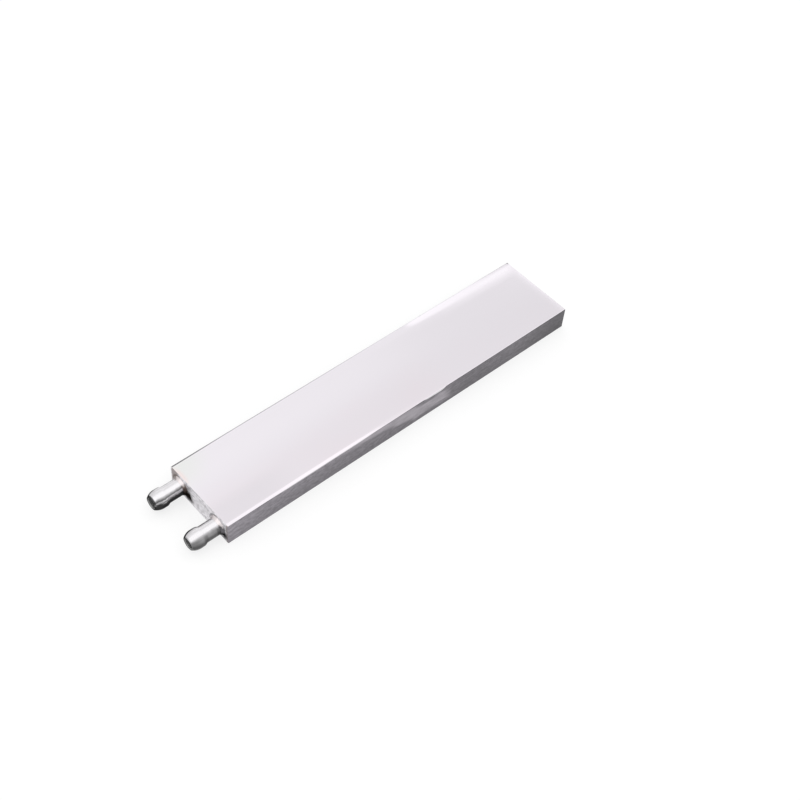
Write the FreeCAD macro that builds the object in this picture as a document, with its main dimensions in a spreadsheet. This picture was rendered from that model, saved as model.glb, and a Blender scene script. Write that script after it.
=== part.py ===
"""Liquid cooling cold plate: a flat extruded aluminium tube with welded end caps and two hose nozzles.

Frame, in millimetres: +X along the plate, away from the nozzles; +Y across it; +Z up. The origin is the
centre of the plate's bottom face. Coolant enters one nozzle, runs down its chamber, turns round the end of
the web and comes back up the other chamber.
"""

import FreeCAD, Part
import math
import os
import Sketcher

# ---------------------------------------------------------------------------------------------- driving sizes

SIZES = [
    # the extruded body
    ("plate_length", 200.0),        # from end face to end face
    ("plate_width", 40.0),
    ("plate_thickness", 12.0),
    ("edge_round", 0.4),            # radius along the four long edges
    ("edge_break", 0.35),           # chamfer round each end face
    ("face_wall", 1.8),             # metal above and below the chambers
    ("side_wall", 2.0),             # metal beside the chambers
    ("web_thickness", 2.4),         # wall between the two chambers
    ("chamber_round", 1.0),         # corner radius of the chambers, the end recesses and the caps
    ("fin_thickness", 1.2),
    ("fin_height", 1.8),
    ("fin_count", 4),               # fins on each wall of each chamber
    ("header_length", 8.0),         # open space between the nozzle end cap and the fins
    ("turn_length", 14.0),          # open space between the web and the far end cap
    # the end caps and their seams
    ("cap_thickness", 6.0),
    ("cap_clearance", 0.05),        # gap between a cap and the recess round it
    ("seam_size", 1.1),             # leg of the bevel that the seam fills
    # the nozzles
    ("nozzle_inset", 7.0),          # from the plate's side to the nozzle's axis
    ("nozzle_reach", 15.1),         # from the end face to the tip
    ("bore_diameter", 5.0),
    ("mouth_chamfer", 0.3),         # at the bore's mouth
    ("barrel_diameter", 7.9),
    ("barb_height", 0.6),           # how far the bulb stands out of the barrel
    ("barb_length", 5.4),           # from the bulb's crest to the tip
    ("barb_land", 1.6),             # straight part of the crest
    ("barb_ramp", 2.2),             # S-shaped rise from the barrel to the crest
    ("nose_drop", 1.3),             # how far the rounded nose falls from the crest to the tip
    ("spigot_diameter", 6.6),       # the part of the nozzle inside the cap
    ("spigot_clearance", 0.05),     # gap between the spigot and its hole
    # the fillet welds round the nozzles
    ("weld_length", 1.3),           # along the barrel
    ("weld_height", 1.0),           # out from the barrel, on the end face
    ("weld_hollow", 2.2),           # radius of the weld's concave surface
    ("weld_toe", 0.15),             # thickness of the weld's edges
]

doc = FreeCAD.newDocument("cold_plate")
sheet = doc.addObject("Spreadsheet::Sheet", "Sizes")
for row, (alias, value) in enumerate(SIZES, start=1):
    sheet.set(f"A{row}", alias)
    sheet.set(f"B{row}", str(value))
    sheet.setAlias(f"B{row}", alias)
doc.recompute()

# Lengths that several pieces share, as expressions of the sheet.
HALF_LENGTH = "Sizes.plate_length / 2"
MID_HEIGHT = "Sizes.plate_thickness / 2"
CHAMBER_WIDTH = "(Sizes.plate_width - 2 * Sizes.side_wall - Sizes.web_thickness) / 2"
CHAMBER_TOP = "(Sizes.plate_thickness / 2 - Sizes.face_wall)"
CHAMBER_SIDE = "(Sizes.plate_width / 2 - Sizes.side_wall)"
CAP_TOP = f"({CHAMBER_TOP} - Sizes.cap_clearance)"
CAP_SIDE = f"({CHAMBER_SIDE} - Sizes.cap_clearance)"
CAP_ROUND = "(Sizes.chamber_round - Sizes.cap_clearance)"
NOZZLE_OFFSET = "(Sizes.plate_width / 2 - Sizes.nozzle_inset)"
BARREL_RADIUS = "Sizes.barrel_diameter / 2"
BARB_RADIUS = "(Sizes.barrel_diameter / 2 + Sizes.barb_height)"
SPIGOT_RADIUS = "Sizes.spigot_diameter / 2"
BORE_RADIUS = "Sizes.bore_diameter / 2"
WELD_RADIUS = "(Sizes.barrel_diameter / 2 + Sizes.weld_height)"

# Degrees. The bevel that a seam fills is a chamfer with equal legs.
BEVEL_ANGLE = 45
HALF_TURN = 180
FULL_TURN = 360

# Two edges or faces nearer than this, in millimetres, count as one.
TOUCH = 1e-4

# ------------------------------------------------------------------------------------------- drawing helpers

STRAIGHT = "straight"
ARC_FROM_LINE = "arc tangent to the line before it"
ARC_INTO_LINE = "arc tangent to the line after it"


def new_body(label):
    body = doc.addObject("PartDesign::Body", label)
    body.Label = label
    return body


def new_sketch(body, name, plane, **offset):
    """A sketch on one of the body's own origin planes; offset binds x, y or z of the attachment."""
    sketch = body.newObject("Sketcher::SketchObject", name)
    support = [feature for feature in body.Origin.OriginFeatures if feature.Role == plane]
    sketch.AttachmentSupport = [(support[0], "")]
    sketch.MapMode = "FlatFace"
    for axis, expression in offset.items():
        sketch.setExpression(f"AttachmentOffset.Base.{axis}", expression)
    return sketch


def value_of(expression):
    return float(sheet.evalExpression(expression))


def bind(sketch, constraint, name, expression):
    """Adds a dimension to a sketch and drives it by an expression of the sheet."""
    index = sketch.addConstraint(constraint)
    sketch.renameConstraint(index, name)
    sketch.setExpression(f"Constraints.{name}", expression)


def arc_between(start, end, toward):
    """The arc from start to end that leaves start along the direction toward, drawn counter-clockwise."""
    chord = end - start
    left = FreeCAD.Vector(-toward.y, toward.x, 0)
    turn_radius = chord.dot(chord) / (2 * chord.dot(left))
    centre = start + left * turn_radius
    first, last = (start, end) if turn_radius > 0 else (end, start)
    circle = Part.Circle(centre, FreeCAD.Vector(0, 0, 1), abs(turn_radius))
    angles = [math.atan2(spot.y - centre.y, spot.x - centre.x) for spot in (first, last)]
    return Part.ArcOfCircle(circle, angles[0], angles[1])


def arc_through(start, end, radius):
    """The arc of a given radius from start to end that bends to the right, drawn counter-clockwise."""
    chord = end - start
    right = FreeCAD.Vector(chord.y, -chord.x, 0).normalize()
    centre = start + chord / 2 + right * math.sqrt(radius ** 2 - (chord.Length / 2) ** 2)
    circle = Part.Circle(centre, FreeCAD.Vector(0, 0, 1), radius)
    angles = [math.atan2(spot.y - centre.y, spot.x - centre.x) for spot in (end, start)]
    return Part.ArcOfCircle(circle, angles[0], angles[1])


def draw_outline(sketch, corners):
    """Draws a closed outline of corners (x, y, how the next edge runs), with x and y as expressions.

    The next edge is straight, or an arc tangent to a neighbour, or an arc whose radius is an expression.
    """
    spots = [FreeCAD.Vector(value_of(x), value_of(y), 0) for x, y, _ in corners]
    count = len(corners)
    curves = []
    for index, (_, _, run) in enumerate(corners):
        start = spots[index]
        end = spots[(index + 1) % count]
        before = (start - spots[index - 1]).normalize()
        after = (spots[(index + 2) % count] - end).normalize()
        if run == STRAIGHT:
            curves.append(Part.LineSegment(start, end))
        elif run == ARC_FROM_LINE:
            curves.append(arc_between(start, end, before))
        elif run == ARC_INTO_LINE:
            curves.append(arc_between(end, start, -after))
        else:
            curves.append(arc_through(start, end, value_of(run)))
    first = sketch.GeometryCount
    sketch.addGeometry(curves, False)
    # An arc runs counter-clockwise, so its own start may be the outline's next corner.
    ends = []
    for curve, spot in zip(curves, spots):
        forward = curve.StartPoint.distanceToPoint(spot) < curve.EndPoint.distanceToPoint(spot)
        ends.append((1, 2) if forward else (2, 1))
    for index, (x, y, run) in enumerate(corners):
        this, following = first + index, first + (index + 1) % count
        starts_at, stops_at = ends[index]
        next_starts = ends[(index + 1) % count][0]
        next_run = corners[(index + 1) % count][2]
        if run == ARC_INTO_LINE or next_run == ARC_FROM_LINE:
            join = "Tangent"
        else:
            join = "Coincident"
        sketch.addConstraint(Sketcher.Constraint(join, this, stops_at, following, next_starts))
        if run not in (STRAIGHT, ARC_FROM_LINE, ARC_INTO_LINE):
            bind(sketch, Sketcher.Constraint("Radius", this, value_of(run)), f"radius_{index}", run)
        spot = spots[index]
        bind(sketch, Sketcher.Constraint("DistanceX", -1, 1, this, starts_at, spot.x), f"x_{index}", x)
        bind(sketch, Sketcher.Constraint("DistanceY", -1, 1, this, starts_at, spot.y), f"y_{index}", y)


def rounded_rectangle(sketch, half_width, half_height, radius, centre="0"):
    """A rectangle with rounded corners, centred on (centre, 0)."""
    left, right = f"{centre} - {half_width}", f"{centre} + {half_width}"
    low, high = f"-{half_height}", f"{half_height}"
    draw_outline(sketch, [
        (f"{left} + {radius}", low, STRAIGHT),
        (f"{right} - {radius}", low, ARC_FROM_LINE),
        (right, f"{low} + {radius}", STRAIGHT),
        (right, f"{high} - {radius}", ARC_FROM_LINE),
        (f"{right} - {radius}", high, STRAIGHT),
        (f"{left} + {radius}", high, ARC_FROM_LINE),
        (left, f"{high} - {radius}", STRAIGHT),
        (left, f"{low} + {radius}", ARC_FROM_LINE),
    ])


def rectangle(sketch, left, right, low, high):
    draw_outline(sketch, [
        (left, low, STRAIGHT),
        (right, low, STRAIGHT),
        (right, high, STRAIGHT),
        (left, high, STRAIGHT),
    ])


def new_feature(body, kind, name, profile, **expressions):
    """A feature on a sketch, with its own sizes driven by the sheet."""
    feature = body.newObject(f"PartDesign::{kind}", name)
    feature.Profile = profile
    profile.Visibility = False
    for size, expression in expressions.items():
        feature.setExpression(size, expression)
    return feature


def must_change(body, cause, volume_before, sign):
    """Stops if a feature neither adds nor removes metal as it should."""
    doc.recompute()
    change = body.Shape.Volume - volume_before
    if change * sign <= 0:
        raise RuntimeError(f"{cause.Name} changed the volume of {body.Label} by {change:.3f} mm3")


def cut(body, name, profile, **expressions):
    """A pocket that starts at its sketch and runs along the sketch's normal."""
    doc.recompute()
    volume = body.Shape.Volume
    pocket = new_feature(body, "Pocket", name, profile, **expressions)
    pocket.Reversed = True
    must_change(body, pocket, volume, -1)
    return pocket


def edges_where(shape, test):
    return [f"Edge{index}" for index, edge in enumerate(shape.Edges, start=1) if test(edge)]


def lies_on(edge, axis, position):
    low, high = getattr(edge.BoundBox, f"{axis}Min"), getattr(edge.BoundBox, f"{axis}Max")
    return abs(low - position) < TOUCH and abs(high - position) < TOUCH


def place(body, x, y="0", turn=0):
    """Puts a body at (x, y) and mid-height, turned about the vertical by turn degrees."""
    body.Placement = FreeCAD.Placement(
        FreeCAD.Vector(0, 0, 0), FreeCAD.Rotation(FreeCAD.Vector(0, 0, 1), turn))
    body.setExpression("Placement.Base.x", x)
    body.setExpression("Placement.Base.y", y)
    body.setExpression("Placement.Base.z", MID_HEIGHT)


# -------------------------------------------------------------------------------------------- extruded body


def make_extruded_body():
    """The flat tube, drawn round its own middle: outline, chambers, end recesses, fins, bevels."""
    body = new_body("extruded_body")
    half_length = value_of(HALF_LENGTH)

    outline = new_sketch(body, "section", "YZ_Plane", z=f"-{HALF_LENGTH}")
    rectangle(outline, "-Sizes.plate_width / 2", "Sizes.plate_width / 2", f"-{MID_HEIGHT}", MID_HEIGHT)
    pad = new_feature(body, "Pad", "extrusion", outline, Length="Sizes.plate_length")
    doc.recompute()

    rounds = body.newObject("PartDesign::Fillet", "long_edge_rounds")
    rounds.Base = (pad, edges_where(pad.Shape, lambda edge: edge.BoundBox.XLength > half_length))
    rounds.setExpression("Radius", "Sizes.edge_round")
    doc.recompute()

    breaks = body.newObject("PartDesign::Chamfer", "end_edge_breaks")
    breaks.Base = (rounds, edges_where(rounds.Shape, lambda edge: (
        lies_on(edge, "X", -half_length) or lies_on(edge, "X", half_length))))
    breaks.setExpression("Size", "Sizes.edge_break")

    for side, centre_sign in (("right", "-"), ("left", "")):
        sketch = new_sketch(body, f"{side}_chamber_section", "YZ_Plane", z=f"-{HALF_LENGTH}")
        centre = f"{centre_sign}(Sizes.web_thickness + {CHAMBER_WIDTH}) / 2"
        rounded_rectangle(sketch, f"{CHAMBER_WIDTH} / 2", CHAMBER_TOP, "Sizes.chamber_round", centre)
        cut(body, f"{side}_chamber", sketch, Length="Sizes.plate_length")

    for end, start, depth in (
        ("nozzle_end", f"-{HALF_LENGTH}", "Sizes.cap_thickness"),
        ("far_end", f"{HALF_LENGTH} - Sizes.cap_thickness - Sizes.turn_length",
         "Sizes.cap_thickness + Sizes.turn_length"),
    ):
        sketch = new_sketch(body, f"{end}_recess_section", "YZ_Plane", z=start)
        rounded_rectangle(sketch, CHAMBER_SIDE, CHAMBER_TOP, "Sizes.chamber_round")
        cut(body, f"{end}_recess", sketch, Length=depth)

    fin_run = "Sizes.plate_length - 2 * Sizes.cap_thickness - Sizes.header_length - Sizes.turn_length"
    pitch = f"{CHAMBER_WIDTH} / (Sizes.fin_count + 1)"
    for side, sign, reverse in (("right", "-", True), ("left", "", False)):
        for wall, low, high in (
            ("floor", f"-{CHAMBER_TOP}", f"-{CHAMBER_TOP} + Sizes.fin_height"),
            ("roof", f"{CHAMBER_TOP} - Sizes.fin_height", CHAMBER_TOP),
        ):
            name = f"{side}_{wall}_fin"
            sketch = new_sketch(body, f"{name}_section", "YZ_Plane",
                                z=f"-{HALF_LENGTH} + Sizes.cap_thickness + Sizes.header_length")
            middle = f"{sign}(Sizes.web_thickness / 2 + {pitch})"
            rectangle(sketch, f"{middle} - Sizes.fin_thickness / 2", f"{middle} + Sizes.fin_thickness / 2",
                      low, high)
            doc.recompute()
            volume = body.Shape.Volume
            fin = new_feature(body, "Pad", name, sketch, Length=fin_run)
            must_change(body, fin, volume, 1)
            volume = body.Shape.Volume
            row = body.newObject("PartDesign::LinearPattern", f"{name}_row")
            row.Originals = [fin]
            row.Direction = (sketch, ["H_Axis"])
            row.Reversed = reverse
            row.Mode = "Spacing"
            row.setExpression("Offset", pitch)
            row.setExpression("Occurrences", "Sizes.fin_count")
            body.Tip = row
            must_change(body, row, volume, 1)

    side, top = value_of(CHAMBER_SIDE), value_of(CHAMBER_TOP)
    bevels = body.newObject("PartDesign::Chamfer", "seam_bevels")
    bevels.Base = (row, edges_where(row.Shape, lambda edge: (
        (lies_on(edge, "X", -half_length) or lies_on(edge, "X", half_length))
        and abs(edge.CenterOfMass.y) < side + TOUCH and abs(edge.CenterOfMass.z) < top + TOUCH)))
    bevels.setExpression("Size", "Sizes.seam_size")
    body.Tip = bevels
    place(body, "0")
    return body


# ------------------------------------------------------------------------------------------- pieces at an end
# Each of these is drawn on the end face, with its own +X pointing out of the plate.


def make_cap(label, holes):
    """A plug that fills the recess up to the end face; holes are the y positions of the nozzles' spigots."""
    body = new_body(label)
    outline = new_sketch(body, f"{label}_outline", "YZ_Plane", x="0", z="-Sizes.cap_thickness")
    rounded_rectangle(outline, CAP_SIDE, CAP_TOP, CAP_ROUND)
    new_feature(body, "Pad", f"{label}_plug", outline, Length="Sizes.cap_thickness")
    if holes:
        sketch = new_sketch(body, f"{label}_hole_circles", "YZ_Plane", z="-Sizes.cap_thickness")
        radius = f"{SPIGOT_RADIUS} + Sizes.spigot_clearance"
        size = value_of(radius)
        for index, offset in enumerate(holes):
            spot = value_of(offset)
            outline = Part.Circle(FreeCAD.Vector(spot, 0, 0), FreeCAD.Vector(0, 0, 1), size)
            circle = sketch.addGeometry(outline, False)
            bind(sketch, Sketcher.Constraint("Radius", circle, size), f"radius_{index}", radius)
            bind(sketch, Sketcher.Constraint("DistanceX", -1, 1, circle, 3, spot), f"hole_{index}", offset)
            sketch.addConstraint(Sketcher.Constraint("PointOnObject", circle, 3, -1))
        cut(body, f"{label}_holes", sketch, Length="Sizes.cap_thickness")
    return body


def make_seam(label):
    """The weld that fills the bevel between the tube and a cap, ground flush with the end face."""
    body = new_body(label)
    outline = new_sketch(body, f"{label}_outline", "YZ_Plane")
    rounded_rectangle(outline, f"({CHAMBER_SIDE} + Sizes.seam_size)", f"({CHAMBER_TOP} + Sizes.seam_size)",
                      "(Sizes.chamber_round + Sizes.seam_size)")
    bead = new_feature(body, "Pad", f"{label}_bead", outline, Length="Sizes.seam_size")
    bead.Reversed = True
    bead.TaperAngle = -BEVEL_ANGLE
    opening = new_sketch(body, f"{label}_opening_outline", "YZ_Plane", z="-Sizes.seam_size")
    rounded_rectangle(opening, CAP_SIDE, CAP_TOP, CAP_ROUND)
    cut(body, f"{label}_opening", opening, Length="Sizes.seam_size")
    return body


def revolve(body, sketch, name):
    turned = new_feature(body, "Revolution", name, sketch)
    turned.ReferenceAxis = (sketch, ["H_Axis"])
    turned.Angle = FULL_TURN
    return turned


def make_nozzle(label):
    """Turned nozzle: spigot, shoulder on the end face, barrel, bulb barb, rounded nose, through bore."""
    body = new_body(label)
    crest = "(Sizes.nozzle_reach - Sizes.barb_length)"
    half_ramp = "Sizes.barb_ramp / 2"
    sketch = new_sketch(body, f"{label}_profile", "XZ_Plane")
    draw_outline(sketch, [
        ("-Sizes.cap_thickness", BORE_RADIUS, STRAIGHT),
        ("-Sizes.cap_thickness", SPIGOT_RADIUS, STRAIGHT),
        ("0", SPIGOT_RADIUS, STRAIGHT),
        ("0", BARREL_RADIUS, STRAIGHT),
        (f"{crest} - Sizes.barb_ramp", BARREL_RADIUS, ARC_FROM_LINE),
        (f"{crest} - {half_ramp}", f"({BARREL_RADIUS} + {BARB_RADIUS}) / 2", ARC_INTO_LINE),
        (crest, BARB_RADIUS, STRAIGHT),
        (f"{crest} + Sizes.barb_land", BARB_RADIUS, ARC_FROM_LINE),
        ("Sizes.nozzle_reach", f"{BARB_RADIUS} - Sizes.nose_drop", STRAIGHT),
        ("Sizes.nozzle_reach", f"{BORE_RADIUS} + Sizes.mouth_chamfer", STRAIGHT),
        ("Sizes.nozzle_reach - Sizes.mouth_chamfer", BORE_RADIUS, STRAIGHT),
    ])
    revolve(body, sketch, f"{label}_turning")
    return body


def make_nozzle_weld(label):
    """The fillet of weld metal from the barrel out to the end face, hollow in section."""
    body = new_body(label)
    sketch = new_sketch(body, f"{label}_profile", "XZ_Plane")
    draw_outline(sketch, [
        ("0", BARREL_RADIUS, STRAIGHT),
        ("Sizes.weld_length", BARREL_RADIUS, STRAIGHT),
        ("Sizes.weld_length", f"{BARREL_RADIUS} + Sizes.weld_toe", "Sizes.weld_hollow"),
        ("Sizes.weld_toe", WELD_RADIUS, STRAIGHT),
        ("0", WELD_RADIUS, STRAIGHT),
    ])
    revolve(body, sketch, f"{label}_bead")
    return body


# -------------------------------------------------------------------------------------------------- assembly

pieces = [make_extruded_body()]

nozzle_end_cap = make_cap("nozzle_end_cap", [f"-{NOZZLE_OFFSET}", NOZZLE_OFFSET])
nozzle_end_seam = make_seam("nozzle_end_seam")
for piece in (nozzle_end_cap, nozzle_end_seam):
    place(piece, f"-{HALF_LENGTH}", turn=HALF_TURN)
    pieces.append(piece)

far_end_cap = make_cap("far_end_cap", [])
far_end_seam = make_seam("far_end_seam")
for piece in (far_end_cap, far_end_seam):
    place(piece, HALF_LENGTH)
    pieces.append(piece)

for port, side in (("inlet", f"-{NOZZLE_OFFSET}"), ("outlet", NOZZLE_OFFSET)):
    for piece in (make_nozzle(f"{port}_nozzle"), make_nozzle_weld(f"{port}_nozzle_weld")):
        place(piece, f"-{HALF_LENGTH}", side, HALF_TURN)
        pieces.append(piece)

doc.recompute()

# ---------------------------------------------------------------------------------------- checks and export

for item in doc.Objects:
    if "Invalid" in item.State or "Error" in item.State:
        raise RuntimeError(f"{item.Name} did not compute: {item.State}")
for piece in pieces:
    if piece.Shape.isNull() or not piece.Shape.isValid() or len(piece.Shape.Solids) != 1:
        raise RuntimeError(f"{piece.Label} is not one valid solid")

os.makedirs("parts", exist_ok=True)
for piece in pieces:
    piece.Shape.exportStep(os.path.join("parts", f"{piece.Label}.step"))
    print(f"{piece.Label}: {piece.Shape.Volume:.1f} mm3")
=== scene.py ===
"""Looks of a liquid cooling cold plate: polished faces, drawn sides, ground ends, turned nozzles and welds.

The nozzle end is -X and the far end +X. The near side is -Y, towards the camera, and the far side +Y.
"""

import bpy
import math
from mathutils import Matrix, Vector
from typing import NamedTuple


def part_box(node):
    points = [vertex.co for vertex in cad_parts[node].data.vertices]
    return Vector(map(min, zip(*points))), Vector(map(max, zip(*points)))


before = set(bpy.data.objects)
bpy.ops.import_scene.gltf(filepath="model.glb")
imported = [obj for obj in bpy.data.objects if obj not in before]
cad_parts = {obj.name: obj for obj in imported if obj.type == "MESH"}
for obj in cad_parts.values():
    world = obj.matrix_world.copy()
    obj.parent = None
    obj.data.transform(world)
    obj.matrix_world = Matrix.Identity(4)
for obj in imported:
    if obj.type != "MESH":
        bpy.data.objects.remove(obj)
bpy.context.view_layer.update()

MM = 0.001
PLATE_LOW, PLATE_HIGH = (Vector(corner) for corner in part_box("extruded_body"))
PLATE_MIDDLE = (PLATE_LOW + PLATE_HIGH) / 2

# ---------------------------------------------------------------------------------------------------- camera

CAMERA_AIM = Vector((0.00430, -0.00954, 0.006))     # what lies at the picture's centre
CAMERA_AZIMUTH = -135.78                            # degrees from +X, seen from the aim point
CAMERA_ELEVATION = 49.91
CAMERA_DISTANCE = 0.63493
CAMERA_ROLL = 5.63                                  # degrees, the picture's top leans to the left
CAMERA_LENS = 63.39                                 # millimetres, on a sensor of this width
CAMERA_SENSOR = 36.0


def from_angles(azimuth, elevation, distance):
    """A vector from its azimuth and elevation, in degrees."""
    azimuth, elevation = math.radians(azimuth), math.radians(elevation)
    flat = math.cos(elevation) * distance
    return Vector((flat * math.cos(azimuth), flat * math.sin(azimuth), math.sin(elevation) * distance))


def look_at(obj, target, roll=0.0):
    """Turns a camera or lamp at its place towards the target."""
    turn = (target - obj.location).to_track_quat("-Z", "Y")
    obj.rotation_euler = (turn.to_matrix() @ Matrix.Rotation(math.radians(roll), 3, "Z")).to_euler()


def make_camera():
    data = bpy.data.cameras.new("camera")
    data.lens = CAMERA_LENS
    data.sensor_width = CAMERA_SENSOR
    data.clip_start = 0.01
    data.clip_end = 50.0
    camera = bpy.data.objects.new("camera", data)
    bpy.context.collection.objects.link(camera)
    camera.location = CAMERA_AIM + from_angles(CAMERA_AZIMUTH, CAMERA_ELEVATION, CAMERA_DISTANCE)
    look_at(camera, CAMERA_AIM, CAMERA_ROLL)
    bpy.context.scene.camera = camera


# ------------------------------------------------------------------------------------------ material helpers

NOISE_LOW, NOISE_HIGH = 0.3, 0.7        # noise seldom leaves these


class Nodes:
    """Short forms for building one material's node tree. Lengths are in millimetres."""

    def __init__(self, name):
        self.material = bpy.data.materials.new(name)
        self.material.use_nodes = True
        self.tree = self.material.node_tree
        self.shader = self.tree.nodes["Principled BSDF"]
        self.shader.inputs["Metallic"].default_value = 1.0
        self.shader.inputs["Specular IOR Level"].default_value = 0.0
        self.place = self.new("ShaderNodeTexCoord").outputs["Object"]
        self.x, self.y, self.z = self.split(self.stretched((1, 1, 1)))
        self.normal = self.new("ShaderNodeNewGeometry").outputs["Normal"]
        self.normal_x, self.normal_y, self.normal_z = self.split(self.normal)

    def new(self, kind, **settings):
        node = self.tree.nodes.new(kind)
        for name, value in settings.items():
            setattr(node, name, value)
        return node

    def put(self, value, socket):
        """Sets a socket to a constant, or links it to another socket."""
        if isinstance(value, bpy.types.NodeSocket):
            self.tree.links.new(value, socket)
        else:
            socket.default_value = value

    def give(self, name, value):
        """Sets or links one of the shader's own inputs."""
        self.put(value, self.shader.inputs[name])

    def maths(self, operation, a, b=0.0):
        node = self.new("ShaderNodeMath", operation=operation)
        self.put(a, node.inputs[0])
        self.put(b, node.inputs[1])
        return node.outputs[0]

    def add(self, a, b):
        return self.maths("ADD", a, b)

    def minus(self, a, b):
        return self.maths("SUBTRACT", a, b)

    def times(self, a, b):
        return self.maths("MULTIPLY", a, b)

    def larger(self, a, b):
        return self.maths("MAXIMUM", a, b)

    def size(self, a):
        return self.maths("ABSOLUTE", a)

    def distance(self, a, b):
        """The length of the vector (a, b)."""
        return self.maths("SQRT", self.add(self.times(a, a), self.times(b, b)))

    def split(self, vector):
        node = self.new("ShaderNodeSeparateXYZ")
        self.put(vector, node.inputs[0])
        return node.outputs

    def stretched(self, scale):
        """The object's coordinates in millimetres, stretched by scale along each axis."""
        node = self.new("ShaderNodeMapping")
        self.put(self.place, node.inputs["Vector"])
        node.inputs["Scale"].default_value = [factor / MM for factor in scale]
        return node.outputs[0]

    def noise(self, scale, detail=3.0, rough=0.5):
        """Noise of about one cycle per millimetre times scale, along each axis, from 0 to 1."""
        node = self.new("ShaderNodeTexNoise")
        self.put(self.stretched(scale), node.inputs["Vector"])
        node.inputs["Scale"].default_value = 1.0
        node.inputs["Detail"].default_value = detail
        node.inputs["Roughness"].default_value = rough
        return node.outputs["Fac"]

    def span(self, value, low, high, to_low=0.0, to_high=1.0):
        """Maps low..high to to_low..to_high, held at both ends, with a smooth step."""
        node = self.new("ShaderNodeMapRange", interpolation_type="SMOOTHSTEP")
        self.put(value, node.inputs["Value"])
        for socket, number in zip(("From Min", "From Max", "To Min", "To Max"), (low, high, to_low, to_high)):
            self.put(number, node.inputs[socket])
        return node.outputs[0]

    def swing(self, noise, to_low, to_high):
        """Maps noise to to_low..to_high."""
        return self.span(noise, NOISE_LOW, NOISE_HIGH, to_low, to_high)

    def plateau(self, value, rise, fall, height=1.0):
        """Rises from 0 to height over one stretch of value, (from, to), and falls back to 0 over another."""
        return self.times(self.span(value, *rise, 0.0, height), self.span(value, fall[1], fall[0]))

    def near_half(self):
        """1 on the near half of the plate, 0 on the far one."""
        return self.span(self.y, 0, -1)

    def nozzle_half(self):
        """1 on the half of the plate by the nozzles, 0 on the other."""
        return self.span(self.x, 0, -1)

    def curve(self, value, full_scale, stops):
        """A brightness read from stops (place, brightness), where place runs from 0 to full_scale."""
        node = self.new("ShaderNodeValToRGB")
        self.put(self.times(value, 1 / full_scale), node.inputs[0])
        set_stops(node.color_ramp, [(place / full_scale, brightness) for place, brightness in stops])
        return node.outputs["Color"]

    def blend(self, factor, a, b):
        """A colour between a and b."""
        node = self.new("ShaderNodeMix", data_type="RGBA")
        self.put(factor, node.inputs["Factor"])
        self.put(a, node.inputs[6])
        self.put(b, node.inputs[7])
        return node.outputs[2]

    def shade(self, a, b):
        """Two colours multiplied."""
        node = self.new("ShaderNodeMix", data_type="RGBA", blend_type="MULTIPLY")
        node.inputs["Factor"].default_value = 1.0
        self.put(a, node.inputs[6])
        self.put(b, node.inputs[7])
        return node.outputs[2]

    def lerp(self, factor, a, b):
        """A number between a and b."""
        node = self.new("ShaderNodeMix", data_type="FLOAT")
        self.put(factor, node.inputs["Factor"])
        self.put(a, node.inputs[2])
        self.put(b, node.inputs[3])
        return node.outputs[0]

    def tilted(self, along_x, along_y):
        """The surface's normal, leaned over by these slopes along X and Y."""
        lean = self.new("ShaderNodeCombineXYZ")
        self.put(along_x, lean.inputs[0])
        self.put(along_y, lean.inputs[1])
        total = self.new("ShaderNodeVectorMath", operation="ADD")
        self.put(self.normal, total.inputs[0])
        self.put(lean.outputs[0], total.inputs[1])
        unit = self.new("ShaderNodeVectorMath", operation="NORMALIZE")
        self.put(total.outputs[0], unit.inputs[0])
        return unit.outputs[0]

    def bump(self, height, depth, after):
        """Raises a surface of the normal after by up to depth, where height is 1."""
        node = self.new("ShaderNodeBump")
        node.inputs["Distance"].default_value = depth * MM
        self.put(height, node.inputs["Height"])
        self.put(after, node.inputs["Normal"])
        return node.outputs[0]


def colour(red, green, blue):
    return (red, green, blue, 1.0)


def grey(brightness):
    return colour(brightness, brightness, brightness)


def set_stops(ramp, stops):
    """Fills a colour ramp with greys from stops (position, brightness), where position runs from 0 to 1."""
    while len(ramp.elements) < len(stops):
        ramp.elements.new(0.5)
    for element, (position, brightness) in zip(ramp.elements, stops):
        element.position = position
        element.color = grey(brightness)


# ------------------------------------------------------------ tones and places, in millimetres and degrees

HALF_LENGTH = (PLATE_HIGH.x - PLATE_LOW.x) / 2 / MM
HALF_WIDTH = (PLATE_HIGH.y - PLATE_LOW.y) / 2 / MM
HEIGHT = PLATE_HIGH.z / MM

POLISHED = colour(0.920, 0.882, 0.930)
POLISHED_PINK = colour(0.925, 0.845, 0.895)
POLISHED_GREEN = colour(0.885, 0.890, 0.880)
# Painted dimming of the polished face's reflection.
POLISHED_DIM_REFLECTION = colour(0.800, 0.762, 0.805)
DRAWN = colour(0.920, 0.860, 0.950)
# Painted dark reflection along the far border of the polished face.
PAINTED_DARK_EDGE = colour(0.110, 0.104, 0.114)
# Painted reflection streak on the near side.
PAINTED_STREAK_REFLECTION = colour(0.370, 0.345, 0.375)
# The light tone of the ground ends, also the painted highlight under the near upper edge of the sides.
GROUND_LIGHT_AND_EDGE_HIGHLIGHT = colour(0.90, 0.88, 0.91)
GROUND_DARK = colour(0.64, 0.62, 0.65)
# A peach tint on the polished face by the outlet's root.
PEACH_TINT = colour(0.93, 0.80, 0.78)
# Darker brown on the nozzle end along both sides.
BROWN_TINT = colour(0.270, 0.215, 0.200)
TURNED = colour(0.82, 0.805, 0.825)
WELD = colour(0.86, 0.80, 0.80)
# Painted shade on the nozzles' noses.
PAINTED_SHADE_DARK = grey(0.05)
# The bore, painted darker from its mouth inwards as painted shade.
BORE_MOUTH = grey(0.50)
BORE_DEPTH_SHADE = grey(0.10)

# Brightness of the drawn long sides against the distance from the nozzle end: partly their own darker finish
# and partly painted dark reflection, which deepens towards the far end.
DRAWN_AND_REFLECTION_TONES = [(5, 0.260), (25, 0.224), (45, 0.206), (65, 0.195), (125, 0.166), (137, 0.144), (165, 0.152),
               (175, 0.138), (185, 0.113), (195, 0.090)]
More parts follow.
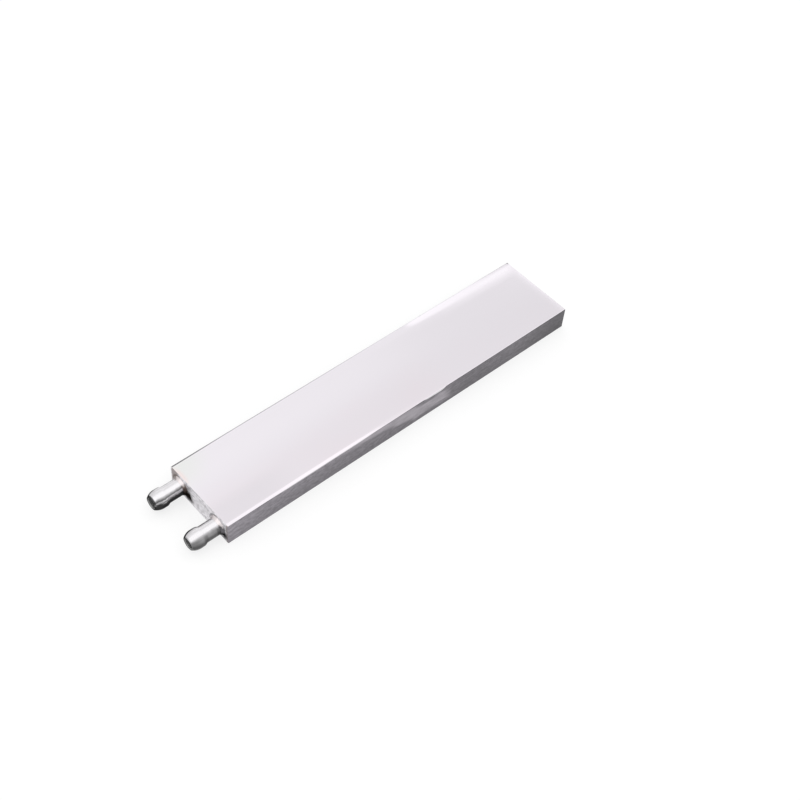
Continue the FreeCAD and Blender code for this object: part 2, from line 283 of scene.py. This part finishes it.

# The painted reflection streak on the near side.
STREAK_START = (-42, -18)       # it fades in over this stretch along X
STREAK_END = (23, 30)           # and out over this one
STREAK_SLANT = 0.4              # how far its ends lean towards the nozzles per millimetre of height
STREAK_FOOT = 9.8               # its lower border, where it is nearest to the nozzles
STREAK_LOW_FOOT = 3.6           # and where it is furthest from them
STREAK_SINKS_FROM = -35         # where the lower border starts to sink, as a parabola of this strength
STREAK_SINKS_BY = 0.0040
STREAK_ROOF = 13.5              # its upper border, which starts above the plate's edge
STREAK_LOW_ROOF = 9.7

# The roll-off of the polished faces near their borders: slopes, and how wide each strip is.
FAR_ROLL = 1.15 * math.tan(math.radians(4.0))
NEAR_ROLL = 2 * math.tan(math.radians(4.0))
END_ROLL = 1.8 * math.tan(math.radians(4.0))
FAR_END_SHARE = 0.45            # the far end rolls off by this share of the nozzle end
FAR_ROLL_WIDTH = 3.5
NEAR_ROLL_WIDTH = 2.6
END_ROLL_WIDTH = 2.4

SHADE_RING_RADIUS = 5.2                # radius of the painted shade ring on the end face round each nozzle's axis, on its far side


class NozzleLook(NamedTuple):
    """The painted reflections, shade and shadows of one nozzle and its root, and its gloss at low angles.
    Angles are in degrees from the nozzle's top line.
    """

    tones: list                 # (angle, brightness) of the painted reflections and shade round the nozzle, the same on both sides
    near_outline: float         # how bright the near flank is where it is seen at a low angle
    far_outline: float          # the same on the far side, along the barrel
    far_nose_outline: float     # and at the nose
    rim_width: float            # of the painted dark ring round the mouth
    rim_darkness: float
    bulb_shade: float           # how much darker the near flank is just behind the bulb
    root_shade: float           # and by the root
    painted_shade: tuple               # the colour of the painted shade on the weld's flanks and in the ring round the root
    painted_shade_by_nozzle: float     # angle at which the painted shade starts on the near side of the weld, next to the nozzle
    painted_shade_by_plate: float      # and next to the plate
    painted_shade_far_side: float      # the same on the far side
    painted_shadow: tuple                 # the colour of the painted shadow of the nozzle beside the root
    painted_shadow_size: float            # its radius
    painted_shadow_fade: float            # how much of that is its soft edge
    painted_shadow_drop: float            # how far its middle is below the nozzle's axis
    painted_shadow_aside: float           # and towards the near side


LOOKS = {
    "inlet": NozzleLook(
        tones=[(0, 1.0), (30, 0.98), (42, 0.60), (52, 0.44), (62, 0.32), (78, 0.15), (95, 0.13), (140, 0.30)],
        near_outline=0.8, far_outline=0.75, far_nose_outline=0.15,
        rim_width=0.4, rim_darkness=0.35,
        bulb_shade=0.35, root_shade=0.50,
        painted_shade=colour(0.130, 0.125, 0.135),
        painted_shade_by_nozzle=30.0, painted_shade_by_plate=42.0, painted_shade_far_side=75.0,
        painted_shadow=colour(0.045, 0.044, 0.048),
        painted_shadow_size=2.9, painted_shadow_fade=2.4, painted_shadow_drop=2.5, painted_shadow_aside=4.8,
    ),
    "outlet": NozzleLook(
        tones=[(0, 1.0), (31, 1.0), (49, 0.18), (55, 1.0), (65, 1.0), (71, 0.08), (87, 0.03), (105, 0.13)],
        near_outline=0.35, far_outline=0.82, far_nose_outline=0.3,
        rim_width=0.9, rim_darkness=0.97,
        bulb_shade=0.0, root_shade=0.0,
        painted_shade=colour(0.160, 0.120, 0.105),
        painted_shade_by_nozzle=26.0, painted_shade_by_plate=26.0, painted_shade_far_side=14.0,
        painted_shadow=colour(0.022, 0.016, 0.013),
        painted_shadow_size=4.4, painted_shadow_fade=3.0, painted_shadow_drop=1.75, painted_shadow_aside=5.2,
    ),
}
NOZZLES = {port: Vector(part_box(f"{port}_nozzle")[0]).lerp(Vector(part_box(f"{port}_nozzle")[1]), 0.5) / MM
           for port in LOOKS}
NOZZLE_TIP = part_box("inlet_nozzle")[0][0] / MM
BULB_BACK = NOZZLE_TIP + 6.6    # where the bulb falls back to the barrel
BORE_RADIUS = 2.6

# How much of the slope along X the shading leaves out, so that the bulb and the weld fillet look softer.
BULB_SOFTENING = 0.75
FILLET_SOFTENING = 0.7


def round_nozzle(nodes, port):
    """Degrees round a nozzle's axis from its top line, the distance from the axis, and its part along Y."""
    across = nodes.minus(nodes.y, NOZZLES[port].y)
    up = nodes.minus(nodes.z, NOZZLES[port].z)
    angle = nodes.times(nodes.size(nodes.maths("ARCTAN2", across, up)), math.degrees(1))
    return angle, nodes.distance(across, up), across


def painted_shadow_patch(nodes, port):
    """How much painted shadow of the nozzle darkens the metal low on the near side of its root."""
    look = LOOKS[port]
    across = nodes.add(nodes.y, look.painted_shadow_aside - NOZZLES[port].y)
    up = nodes.add(nodes.z, look.painted_shadow_drop - NOZZLES[port].z)
    ragged = nodes.swing(nodes.noise((0.5, 0.5, 0.5), detail=2.0), -0.5, 0.5)
    reach = nodes.add(nodes.distance(across, up), ragged)
    patch = nodes.span(reach, look.painted_shadow_size, look.painted_shadow_size - look.painted_shadow_fade)
    above_foot = nodes.span(nodes.z, 0.3, 1.8)
    return nodes.times(nodes.times(patch, above_foot), nodes.nozzle_half())


# ----------------------------------------------------------------------------------------------- plate metal


def painted_reflection_streak(nodes):
    """A painted reflection: a lighter streak at mid-length, thin along the upper edge at first, lower and
    broader further on.
    """
    wander = nodes.swing(nodes.noise((0.06, 0.3, 0.3), detail=2.0), -1.0, 1.0)
    height = nodes.add(nodes.z, wander)
    past = nodes.larger(nodes.minus(nodes.x, STREAK_SINKS_FROM), 0.0)
    foot = nodes.add(nodes.times(nodes.times(past, past), -STREAK_SINKS_BY), STREAK_FOOT)
    foot = nodes.larger(foot, STREAK_LOW_FOOT)
    roof = nodes.span(nodes.x, -15, 12, STREAK_ROOF, STREAK_LOW_ROOF)
    above_foot = nodes.span(nodes.minus(height, foot), -1.4, 1.2)
    below_roof = nodes.span(nodes.minus(roof, height), -0.8, 0.8)
    slanted = nodes.add(nodes.x, nodes.times(height, STREAK_SLANT))
    streak = nodes.times(above_foot, below_roof)
    streak = nodes.times(streak, nodes.plateau(slanted, STREAK_START, STREAK_END))
    return nodes.times(streak, nodes.swing(nodes.noise((0.15, 0.5, 0.5)), 0.6, 1.0))


def painted_edge_highlight(nodes):
    """A painted highlight: the bright band under the upper edge, of a width that changes along the plate."""
    width = nodes.add(nodes.span(nodes.x, 2, 20, 0.0, 0.6), nodes.span(nodes.x, 8, 12, 0.0, 0.45))
    width = nodes.times(width, nodes.span(nodes.x, 24.5, 19))
    width = nodes.add(width, nodes.plateau(nodes.x, (-88, -66), (-30, -8), 0.5))
    width = nodes.add(width, nodes.span(nodes.x, 27, 33, 0.0, 0.3))
    return nodes.span(nodes.minus(nodes.add(nodes.z, width), HEIGHT), 0.1, 0.4, 0.0, 0.8)


def drawn_side(nodes, lines):
    """The drawn long sides, darker towards the far end: dark partly by their finish and partly by painted
    dark reflection, with a painted reflection streak and a painted edge highlight on the near side.
    """
    tone = nodes.shade(DRAWN, nodes.curve(nodes.add(nodes.x, HALF_LENGTH), 2 * HALF_LENGTH, DRAWN_AND_REFLECTION_TONES))
    tone = nodes.shade(tone, nodes.span(lines, 0.25, 0.75, 0.80, 1.25))
    tone = nodes.shade(tone, nodes.swing(nodes.noise((0.35, 0.7, 0.7)), 0.82, 1.19))
    # Painted reflection: lighter towards the top of the side.
    tone = nodes.shade(tone, nodes.span(nodes.z, 1, HEIGHT - 1, 0.92, 1.12))
    on_near_side = nodes.near_half()
    tone = nodes.blend(nodes.times(painted_reflection_streak(nodes), on_near_side), tone, PAINTED_STREAK_REFLECTION)
    return nodes.blend(nodes.times(painted_edge_highlight(nodes), on_near_side), tone, GROUND_LIGHT_AND_EDGE_HIGHLIGHT)


def from_corner(nodes, end, side):
    """The distance from a corner of the plate; end and side are -1 or 1, along X and Y."""
    return nodes.distance(nodes.minus(nodes.x, end * HALF_LENGTH), nodes.minus(nodes.y, side * HALF_WIDTH))


def pinkness(nodes):
    """How pink the polish is: cloudy, on the near half, and little towards the far end."""
    haze = nodes.noise((0.02, 0.05, 0.05), detail=2.0)
    pink = nodes.times(nodes.span(nodes.y, 4, -12), nodes.span(nodes.x, 35, 5, 0.15, 1.0))
    return nodes.times(pink, nodes.span(haze, 0.35, 0.65, 0.45, 1.0))


def painted_dimming(nodes):
    """How much the polish's painted reflection is dimmed: more towards the near side, the far end and the
    near corner by the nozzles, and not along the far side, which keeps a painted bright reflection strip.
    """
    to_near_side = nodes.span(nodes.y, 12, -12)
    by_nozzles = nodes.times(to_near_side, 0.54)
    by_far_end = nodes.add(nodes.times(to_near_side, 0.15), 0.31)
    dimming = nodes.lerp(nodes.span(nodes.x, -10, 50), by_nozzles, by_far_end)
    near_corner = nodes.times(nodes.span(nodes.x, -55, -80), nodes.span(nodes.y, -4, -12))
    dimming = nodes.add(dimming, nodes.times(near_corner, 0.35))
    return nodes.times(dimming, nodes.span(nodes.y, HALF_WIDTH - 2.5, HALF_WIDTH - 5.5))


def dark_border(nodes):
    """Painted dark reflection: the fine dark line along the far side, boldest by the nozzles, a painted
    shadow along it towards the far end, and the dark tip of the far corner.
    """
    inside = nodes.minus(HALF_WIDTH, nodes.y)
    wider_by = nodes.span(nodes.x, -HALF_LENGTH, -65, 0.35, 0.0)
    line = nodes.span(nodes.minus(inside, wider_by), 0.6, 0.35)
    boldness = nodes.span(nodes.x, -HALF_LENGTH, -60, 0.85, 0.68)
    boldness = nodes.add(boldness, nodes.span(nodes.x, -60, 45, 0.0, -0.68))
    shadow = nodes.times(nodes.span(inside, 2.4, 0.4), nodes.span(nodes.x, 65, HALF_LENGTH, 0.0, 0.2))
    tip = nodes.span(from_corner(nodes, 1, 1), 1.7, 0.6, 0.0, 0.85)
    return nodes.larger(nodes.larger(nodes.times(line, boldness), shadow), tip)


def polished_face(nodes):
    """Mirror-polished, with faint clouds, painted dimming of its reflection, a painted dark reflection along
    the far border and a peach tint by the outlet's root.
    """
    tone = nodes.blend(pinkness(nodes), POLISHED, POLISHED_PINK)
    tone = nodes.blend(painted_dimming(nodes), tone, POLISHED_DIM_REFLECTION)
    tone = nodes.blend(nodes.span(from_corner(nodes, -1, 1), 20, 4), tone, POLISHED_GREEN)
    tone = nodes.blend(dark_border(nodes), tone, PAINTED_DARK_EDGE)
    along_edge = nodes.times(nodes.minus(nodes.y, NOZZLES["outlet"].y), 0.4)
    from_root = nodes.distance(nodes.add(nodes.x, HALF_LENGTH), along_edge)
    return nodes.blend(nodes.span(from_root, 3.0, 0.8, 0.0, 0.8), tone, PEACH_TINT)


def ground_end(nodes, lines):
    """Ground flush with the cap: mottled, and at the nozzle end darker brown along both sides, with a painted
    shade ring on the far side of each root and a painted shadow low on its near side.
    """
    mottle = nodes.noise((0.4, 0.55, 0.8), detail=4.0, rough=0.6)
    tone = nodes.blend(nodes.span(lines, 0.32, 0.55), GROUND_DARK, GROUND_LIGHT_AND_EDGE_HIGHLIGHT)
    tone = nodes.shade(tone, nodes.span(mottle, 0.35, 0.6, 0.74, 1.08))
    at_nozzles = nodes.nozzle_half()
    rise = (HALF_WIDTH - 6, HALF_WIDTH - 4)
    fall = (HALF_WIDTH - 1.3, HALF_WIDTH - 0.4)
    far_strip = nodes.plateau(nodes.y, rise, fall, 0.75)
    near_strip = nodes.span(nodes.y, 1.4 - HALF_WIDTH, 0.6 - HALF_WIDTH, 0.0, 0.8)
    tone = nodes.blend(nodes.times(nodes.larger(far_strip, near_strip), at_nozzles), tone, BROWN_TINT)
    for port, look in LOOKS.items():
        _, reach, across = round_nozzle(nodes, port)
        ring = nodes.span(nodes.size(nodes.minus(reach, SHADE_RING_RADIUS)), 0.8, 0.2)
        ring = nodes.times(ring, nodes.span(across, -0.5, 1.5))
        tone = nodes.blend(nodes.times(nodes.times(ring, at_nozzles), 0.7), tone, look.painted_shade)
        tone = nodes.blend(painted_shadow_patch(nodes, port), tone, look.painted_shadow)
    return tone


def roll_off(nodes):
    """The slopes along X and Y by which a polished face leans over near its borders."""
    from_line = nodes.add(nodes.add(nodes.y, FAR_ROLL_WIDTH - HALF_WIDTH), nodes.times(nodes.x, 0.035))
    to_far_side = nodes.times(nodes.span(from_line, 0, 3.2, 0, FAR_ROLL), nodes.span(nodes.x, 27, 38))
    to_near_side = nodes.span(nodes.y, NEAR_ROLL_WIDTH - HALF_WIDTH, 1 - HALF_WIDTH, 0, -NEAR_ROLL)
    to_near_side = nodes.times(to_near_side, nodes.span(nodes.x, 40, -60))
    to_end = nodes.span(nodes.size(nodes.x), HALF_LENGTH - END_ROLL_WIDTH, HALF_LENGTH + 1.5, 0, END_ROLL)
    to_end = nodes.times(to_end, nodes.span(nodes.x, -1, 1, -1.0, FAR_END_SHARE))
    return to_end, nodes.add(to_far_side, to_near_side)


def plate_metal(name):
    """One aluminium for the plate: polished wide faces, drawn long sides and edges, ground ends."""
    nodes = Nodes(name)
    is_wide = nodes.span(nodes.size(nodes.normal_z), 0.80, 0.95)
    is_end = nodes.span(nodes.minus(nodes.size(nodes.normal_x), nodes.size(nodes.normal_y)), 0.2, 0.5)

    drawn = nodes.noise((0.012, 1.0, 3.2), detail=6.0, rough=0.65)
    ground = nodes.noise((1.0, 0.08, 1.8), detail=4.0, rough=0.6)
    buffed = nodes.noise((0.05, 2.5, 2.5), detail=4.0, rough=0.6)
    base = nodes.blend(is_wide, drawn_side(nodes, drawn), polished_face(nodes))
    nodes.give("Base Color", nodes.blend(is_end, base, ground_end(nodes, ground)))

    rough_wide = nodes.swing(buffed, 0.08, 0.11)
    rough_wide = nodes.add(rough_wide, nodes.span(nodes.x, HALF_LENGTH - 5, HALF_LENGTH, 0, 0.10))
    hazy_strip = nodes.times(nodes.span(nodes.y, 11, 15), nodes.span(nodes.x, 25, 80, 0.04, 0.14))
    rough_wide = nodes.add(rough_wide, hazy_strip)
    rough_side = nodes.swing(drawn, 0.34, 0.24)
    rough_end = nodes.swing(ground, 0.55, 0.42)
    nodes.give("Roughness", nodes.lerp(is_end, nodes.lerp(is_wide, rough_side, rough_wide), rough_end))

    along_x, along_y = roll_off(nodes)
    leaning = nodes.tilted(nodes.times(is_wide, along_x), nodes.times(is_wide, along_y))
    lines = nodes.lerp(is_end, nodes.lerp(is_wide, drawn, nodes.times(buffed, 0.04)), ground)
    nodes.give("Normal", nodes.bump(lines, 0.02, leaning))

    # The painted shadows beside the nozzle roots, made not metallic so that they stay dark.
    painted_shadow = nodes.larger(painted_shadow_patch(nodes, "inlet"), painted_shadow_patch(nodes, "outlet"))
    gloss_of_end = nodes.span(nodes.y, NOZZLES["inlet"].y - 2.5, NOZZLES["inlet"].y - 1, 0.2, 0.75)
    nodes.give("Metallic", nodes.lerp(is_end, 1.0, nodes.lerp(painted_shadow, gloss_of_end, 0.0)))
    return nodes.material


# ----------------------------------------------------------------------------------------- nozzles and welds


def flank_shade(nodes, look, angle, across):
    """White, darkened on the near flank of the barrel just behind the bulb and by the root."""
    behind_bulb = nodes.span(nodes.size(nodes.minus(nodes.x, BULB_BACK)), 1.6, 0.5, 0.0, look.bulb_shade)
    at_root = nodes.span(nodes.x, -HALF_LENGTH - 3.4, -HALF_LENGTH - 2.4, 0.0, look.root_shade)
    shaded = nodes.times(nodes.larger(behind_bulb, at_root), nodes.span(angle, 36, 58))
    return nodes.blend(nodes.times(shaded, nodes.span(across, 0.5, -0.5)), grey(1.0), grey(0.0))


def painted_nose_shade(nodes, look, angle, across):
    """How much painted shade darkens the nose: on its flanks, more on the far one, and in a ring round the
    mouth.
    """
    on_flank = nodes.times(nodes.span(nodes.x, NOZZLE_TIP + 5, NOZZLE_TIP + 2), nodes.span(angle, 22, 50))
    on_flank = nodes.times(on_flank, nodes.span(across, -0.5, 0.5, 0.4, 0.8))
    at_rim = nodes.span(nodes.x, NOZZLE_TIP + look.rim_width, NOZZLE_TIP + 0.5 * look.rim_width,
                        0.0, look.rim_darkness)
    return nodes.larger(on_flank, nodes.times(at_rim, nodes.span(angle, 80, 45, 0.4, 1.0)))


def turned_metal(port):
    """Bright turned aluminium with painted reflections and shade round the nozzle's axis, painted shade on
    its flanks and nose, a bore painted darker with depth, and fine rings round the axis.
    """
    look = LOOKS[port]
    nodes = Nodes(f"turned_aluminium_{port}")
    angle, reach, across = round_nozzle(nodes, port)
    rings = nodes.noise((5.0, 0.1, 0.1), detail=4.0, rough=0.7)
    wander = nodes.noise((0.35, 0.2, 0.2), detail=3.0)
    angle = nodes.add(angle, nodes.swing(wander, -3, 3))
    # Painted reflections and shade, read from the angle round the axis.
    base = nodes.shade(TURNED, nodes.curve(angle, 180, look.tones))
    base = nodes.shade(base, flank_shade(nodes, look, angle, across))
    base = nodes.blend(painted_nose_shade(nodes, look, angle, across), base, PAINTED_SHADE_DARK)
    # Painted shade: the bore darkens from its mouth inwards.
    bore = nodes.blend(nodes.span(nodes.x, NOZZLE_TIP + 0.3, NOZZLE_TIP + 3.2), BORE_MOUTH, BORE_DEPTH_SHADE)
    in_bore = nodes.span(reach, BORE_RADIUS + 0.3, BORE_RADIUS)
    nodes.give("Base Color", nodes.blend(in_bore, base, bore))

    far_side = nodes.span(nodes.x, NOZZLE_TIP + 5.5, NOZZLE_TIP + 2.5,
                          look.far_outline, look.far_nose_outline)
    outline = nodes.lerp(nodes.span(across, -0.5, 0.5), look.near_outline, far_side)
    nodes.give("Specular Tint", nodes.blend(outline, grey(0.0), grey(1.0)))
    nodes.give("Roughness", nodes.lerp(in_bore, nodes.swing(rings, 0.18, 0.25), 0.5))
    softened_bulb = nodes.tilted(nodes.times(nodes.normal_x, -BULB_SOFTENING), 0.0)
    nodes.give("Normal", nodes.bump(rings, 0.008, softened_bulb))
    return nodes.material


def weld_metal(port):
    """The fillet at a nozzle's root: lumpy, bright on top, with painted shade on its flanks and a painted
    shadow low on its near side.
    """
    look = LOOKS[port]
    nodes = Nodes(f"weld_aluminium_{port}")
    angle, _, across = round_nozzle(nodes, port)
    lumps = nodes.noise((0.5, 0.5, 0.5), detail=3.0)
    angle = nodes.add(angle, nodes.swing(lumps, -8, 8))
    is_far_side = nodes.span(across, -0.5, 0.5)
    near_side = nodes.span(nodes.x, -HALF_LENGTH - 1, -HALF_LENGTH - 0.2,
                           look.painted_shade_by_nozzle, look.painted_shade_by_plate)
    painted_shade_from = nodes.lerp(is_far_side, near_side, look.painted_shade_far_side)
    painted_shade = nodes.span(nodes.minus(angle, painted_shade_from), 0, 22)
    painted_shade = nodes.times(painted_shade, nodes.lerp(is_far_side, 1.0, 0.75))
    painted_shadow = painted_shadow_patch(nodes, port)
    nodes.give("Base Color", nodes.blend(painted_shadow, nodes.blend(painted_shade, WELD, look.painted_shade), look.painted_shadow))
    nodes.give("Metallic", nodes.minus(1.0, painted_shadow))
    nodes.give("Roughness", 0.28)
    softened_fillet = nodes.tilted(nodes.times(nodes.normal_x, -FILLET_SOFTENING), 0.0)
    nodes.give("Normal", nodes.bump(lumps, 0.05, softened_fillet))
    return nodes.material


def dress(node, material):
    """Gives a carried-over CAD node its material."""
    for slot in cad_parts[node].material_slots:
        slot.material = material


# ------------------------------------------------------------------------------------- stage, in metres again

FLOOR_HALF = 8.0
FLOOR_DROP = 0.05 * MM      # how far the floor lies below the plate, so that their faces don't coincide
FLOOR_TONE = 0.30
FLOOR_GLOW = 0.74           # what it lacks to pure white, added where the camera or a reflection sees it


def make_floor():
    """A plain white floor that keeps the shadow."""
    mesh = bpy.data.meshes.new("floor")
    corners = [(-FLOOR_HALF, -FLOOR_HALF, 0), (FLOOR_HALF, -FLOOR_HALF, 0),
               (FLOOR_HALF, FLOOR_HALF, 0), (-FLOOR_HALF, FLOOR_HALF, 0)]
    mesh.from_pydata(corners, [], [(0, 1, 2, 3)])
    floor = bpy.data.objects.new("floor", mesh)
    bpy.context.collection.objects.link(floor)
    floor.location.z = -FLOOR_DROP
    material = bpy.data.materials.new("floor")
    material.use_nodes = True
    tree = material.node_tree
    shader = tree.nodes["Principled BSDF"]
    shader.inputs["Base Color"].default_value = grey(FLOOR_TONE)
    shader.inputs["Roughness"].default_value = 0.9
    shader.inputs["Specular IOR Level"].default_value = 0.0
    shader.inputs["Emission Color"].default_value = grey(1)
    path = tree.nodes.new("ShaderNodeLightPath")
    seen = path.outputs["Is Camera Ray"]
    for ray in ("Is Glossy Ray", "Is Transmission Ray"):
        either = tree.nodes.new("ShaderNodeMath")
        either.operation = "MAXIMUM"
        tree.links.new(seen, either.inputs[0])
        tree.links.new(path.outputs[ray], either.inputs[1])
        seen = either.outputs[0]
    glow = tree.nodes.new("ShaderNodeMath")
    glow.operation = "MULTIPLY"
    glow.inputs[1].default_value = FLOOR_GLOW
    tree.links.new(seen, glow.inputs[0])
    tree.links.new(glow.outputs[0], shader.inputs["Emission Strength"])
    mesh.materials.append(material)


# Brightness of the studio's dome against elevation, in degrees.
DOME = [(0, 1.0), (5, 1.0), (13, 0.78), (38, 0.82), (45, 0.86), (54, 0.96), (62, 1.0)]


def make_world():
    """A pale studio dome, white overhead and at the horizon and a little greyer between."""
    world = bpy.data.worlds.new("studio")
    bpy.context.scene.world = world
    world.use_nodes = True
    tree = world.node_tree
    place = tree.nodes.new("ShaderNodeTexCoord")
    split = tree.nodes.new("ShaderNodeSeparateXYZ")
    tree.links.new(place.outputs["Generated"], split.inputs[0])
    ramp = tree.nodes.new("ShaderNodeValToRGB")
    tree.links.new(split.outputs["Z"], ramp.inputs[0])
    set_stops(ramp.color_ramp, [(math.sin(math.radians(angle)), brightness) for angle, brightness in DOME])
    tree.links.new(ramp.outputs["Color"], tree.nodes["Background"].inputs["Color"])


def make_softbox(name, place, size, radiance, faces_down=False):
    """A rectangular area lamp that faces the plate or the floor; radiance adds to the dome behind it."""
    data = bpy.data.lights.new(name, "AREA")
    data.shape = "RECTANGLE"
    data.size, data.size_y = size
    data.energy = math.pi * size[0] * size[1] * radiance
    lamp = bpy.data.objects.new(name, data)
    bpy.context.collection.objects.link(lamp)
    lamp.location = PLATE_MIDDLE + place
    if not faces_down:
        look_at(lamp, PLATE_MIDDLE)


# ------------------------------------------------------------------------------------------------------ scene

make_camera()
make_floor()
make_world()
make_softbox("overhead", Vector((0.25, -0.165, 1.2)), (2.7, 1.17), 0.2, faces_down=True)
make_softbox("back", from_angles(50, 33.5, 1.4), (1.15, 0.42), 0.28)

plate = plate_metal("plate_aluminium")
for node in ("extruded_body", "nozzle_end_cap", "far_end_cap", "nozzle_end_seam", "far_end_seam"):
    dress(node, plate)
for port in NOZZLES:
    dress(f"{port}_nozzle", turned_metal(port))
    dress(f"{port}_nozzle_weld", weld_metal(port))

bpy.context.scene.view_settings.view_transform = "Standard"
